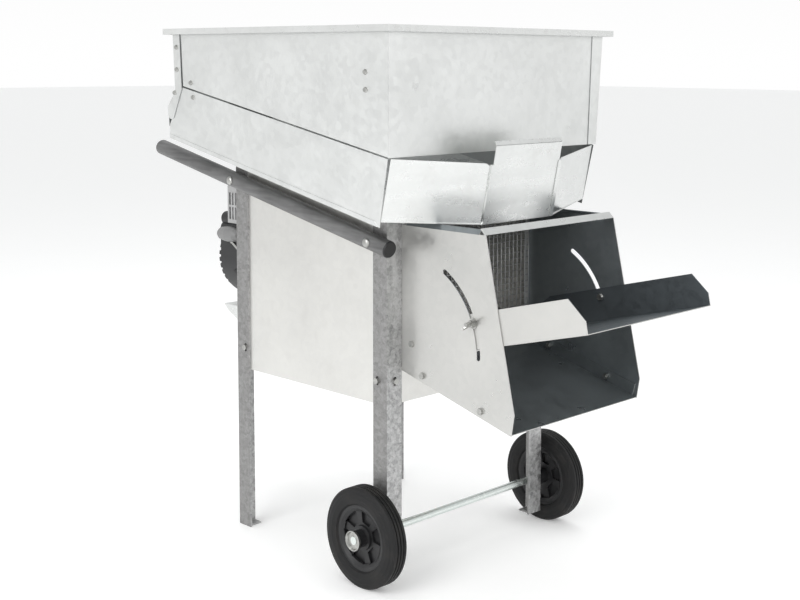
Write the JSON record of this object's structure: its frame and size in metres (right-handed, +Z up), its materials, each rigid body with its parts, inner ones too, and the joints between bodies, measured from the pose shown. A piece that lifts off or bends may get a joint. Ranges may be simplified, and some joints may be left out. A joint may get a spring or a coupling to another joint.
{
  "type": "olive defoliator",
  "caption": "Sheet steel hopper on angle iron legs and wheels, with a sloping tray, lifting gate, fan box with mesh guard, small engine and tilting leaf deflector.",
  "frame": {"origin": "on the ground, at the middle of the outer box", "axes": "+X points to the leaf outlet, +Y to the left side, +Z up"},
  "size_m": [1.2136, 0.6648, 1.0946],
  "materials": {
    "galvanised_angle": "satin",
    "galvanised_sheet": "satin",
    "tube_steel": "satin",
    "zinc_steel": "satin",
    "mesh_wire": "satin",
    "cast_alloy": "satin",
    "muffler_steel": "satin",
    "black_plastic": "satin",
    "grip_plastic": "satin",
    "tank_plastic": "satin",
    "red_plastic": "satin",
    "tyre_rubber": "matte"
  },
  "bodies": {
    "frame": {"leg_front_right": "galvanised_angle", "leg_front_left": "galvanised_angle", "leg_rear_right": "galvanised_angle", "leg_rear_left": "galvanised_angle", "handle_tube_right": "tube_steel", "handle_tube_left": "tube_steel", "tube_plugs": "black_plastic", "axle": "zinc_steel", "hub_caps": "zinc_steel", "side_panel_right": "galvanised_sheet", "side_panel_left": "galvanised_sheet", "front_panel": "galvanised_sheet", "rear_panel": "galvanised_sheet", "fan_duct": "galvanised_sheet", "fan_ring": "galvanised_sheet", "mesh_guard": "mesh_wire", "outlet_plate_right": "galvanised_sheet", "outlet_plate_left": "galvanised_sheet", "outlet_floor": "galvanised_sheet", "tie_strip": "galvanised_sheet", "pivot_bolts": "zinc_steel", "tray_floor": "galvanised_sheet", "tray_side_right": "galvanised_sheet", "tray_side_left": "galvanised_sheet", "funnel_wall_right": "galvanised_sheet", "funnel_wall_left": "galvanised_sheet", "gate_guides": "galvanised_sheet", "hopper_front": "galvanised_sheet", "hopper_side_right": "galvanised_sheet", "hopper_side_left": "galvanised_sheet", "hopper_rear": "galvanised_sheet", "hopper_rim": "galvanised_sheet", "engine_shelf": "galvanised_sheet", "engine_block": "cast_alloy", "engine_shroud": "black_plastic", "starter_cover": "black_plastic", "muffler": "muffler_steel", "muffler_guard": "muffler_steel", "air_cleaner": "black_plastic", "carburettor": "cast_alloy", "fuel_tank": "tank_plastic", "plug_cap": "black_plastic", "frame_bolts": "zinc_steel", "sheet_bolts": "zinc_steel"},
    "wheel_right": {"tyre_right": "tyre_rubber", "wheel_right": "black_plastic"},
    "wheel_left": {"tyre_left": "tyre_rubber", "wheel_left": "black_plastic"},
    "deflector": {"deflector": "galvanised_sheet", "clamp_bolts": "zinc_steel"},
    "wing_nut_right": {"wing_nut_right": "zinc_steel"},
    "wing_nut_left": {"wing_nut_left": "zinc_steel"},
    "gate": {"gate": "galvanised_sheet"},
    "rotor": {"drive_shaft": "zinc_steel", "fan": "cast_alloy"},
    "starter_grip": {"starter_grip": "grip_plastic"},
    "fuel_cap": {"fuel_cap": "black_plastic"},
    "throttle_lever": {"throttle_lever": "zinc_steel"},
    "choke_lever": {"choke_lever": "zinc_steel"},
    "stop_switch": {"stop_switch": "red_plastic"}
  },
  "joints": [
    {"name": "wheel_right_spin", "type": "hinge", "parent": "frame", "child": "wheel_right", "pos_m": [0.12227, -0.272, 0.1], "axis": [0, 1, 0], "continuous": true},
    {"name": "wheel_left_spin", "type": "hinge", "parent": "frame", "child": "wheel_left", "pos_m": [0.12227, 0.272, 0.1], "axis": [0, 1, 0], "continuous": true},
    {"name": "deflector_tilt", "type": "hinge", "parent": "frame", "child": "deflector", "pos_m": [0.17077, 0, 0.479], "axis": [0, -1, 0], "range_deg": [-21, 25]},
    {"name": "wing_nut_right_turn", "type": "hinge", "parent": "deflector", "child": "wing_nut_right", "pos_m": [0.33453, -0.199, 0.5435], "axis": [0, -1, 0], "continuous": true},
    {"name": "wing_nut_left_turn", "type": "hinge", "parent": "deflector", "child": "wing_nut_left", "pos_m": [0.33453, 0.199, 0.5435], "axis": [0, 1, 0], "continuous": true},
    {"name": "gate_lift", "type": "slide", "parent": "frame", "child": "gate", "axis": [0.2011, 0, 0.9796], "range_m": [0, 0.11]},
    {"name": "rotor_spin", "type": "hinge", "parent": "frame", "child": "rotor", "pos_m": [-0.19773, 0, 0.56], "axis": [1, 0, 0], "continuous": true},
    {"name": "starter_pull", "type": "slide", "parent": "frame", "child": "starter_grip", "axis": [0, -1, 0], "range_m": [0, 0.5], "stiffness_N_per_m": 40},
    {"name": "fuel_cap_turn", "type": "hinge", "parent": "frame", "child": "fuel_cap", "pos_m": [-0.53773, 0.066, 0.725], "axis": [0, 0, 1], "range_deg": [0, 90]},
    {"name": "throttle_turn", "type": "hinge", "parent": "frame", "child": "throttle_lever", "pos_m": [-0.50173, -0.101, 0.578], "axis": [0, -1, 0], "range_deg": [0, 40]},
    {"name": "choke_turn", "type": "hinge", "parent": "frame", "child": "choke_lever", "pos_m": [-0.41973, 0.056, 0.667], "axis": [-1, 0, 0], "range_deg": [0, 36]},
    {"name": "stop_switch_turn", "type": "hinge", "parent": "frame", "child": "stop_switch", "pos_m": [-0.50973, -0.103, 0.534], "axis": [0, -1, 0], "range_deg": [0, 45]}
  ]
}
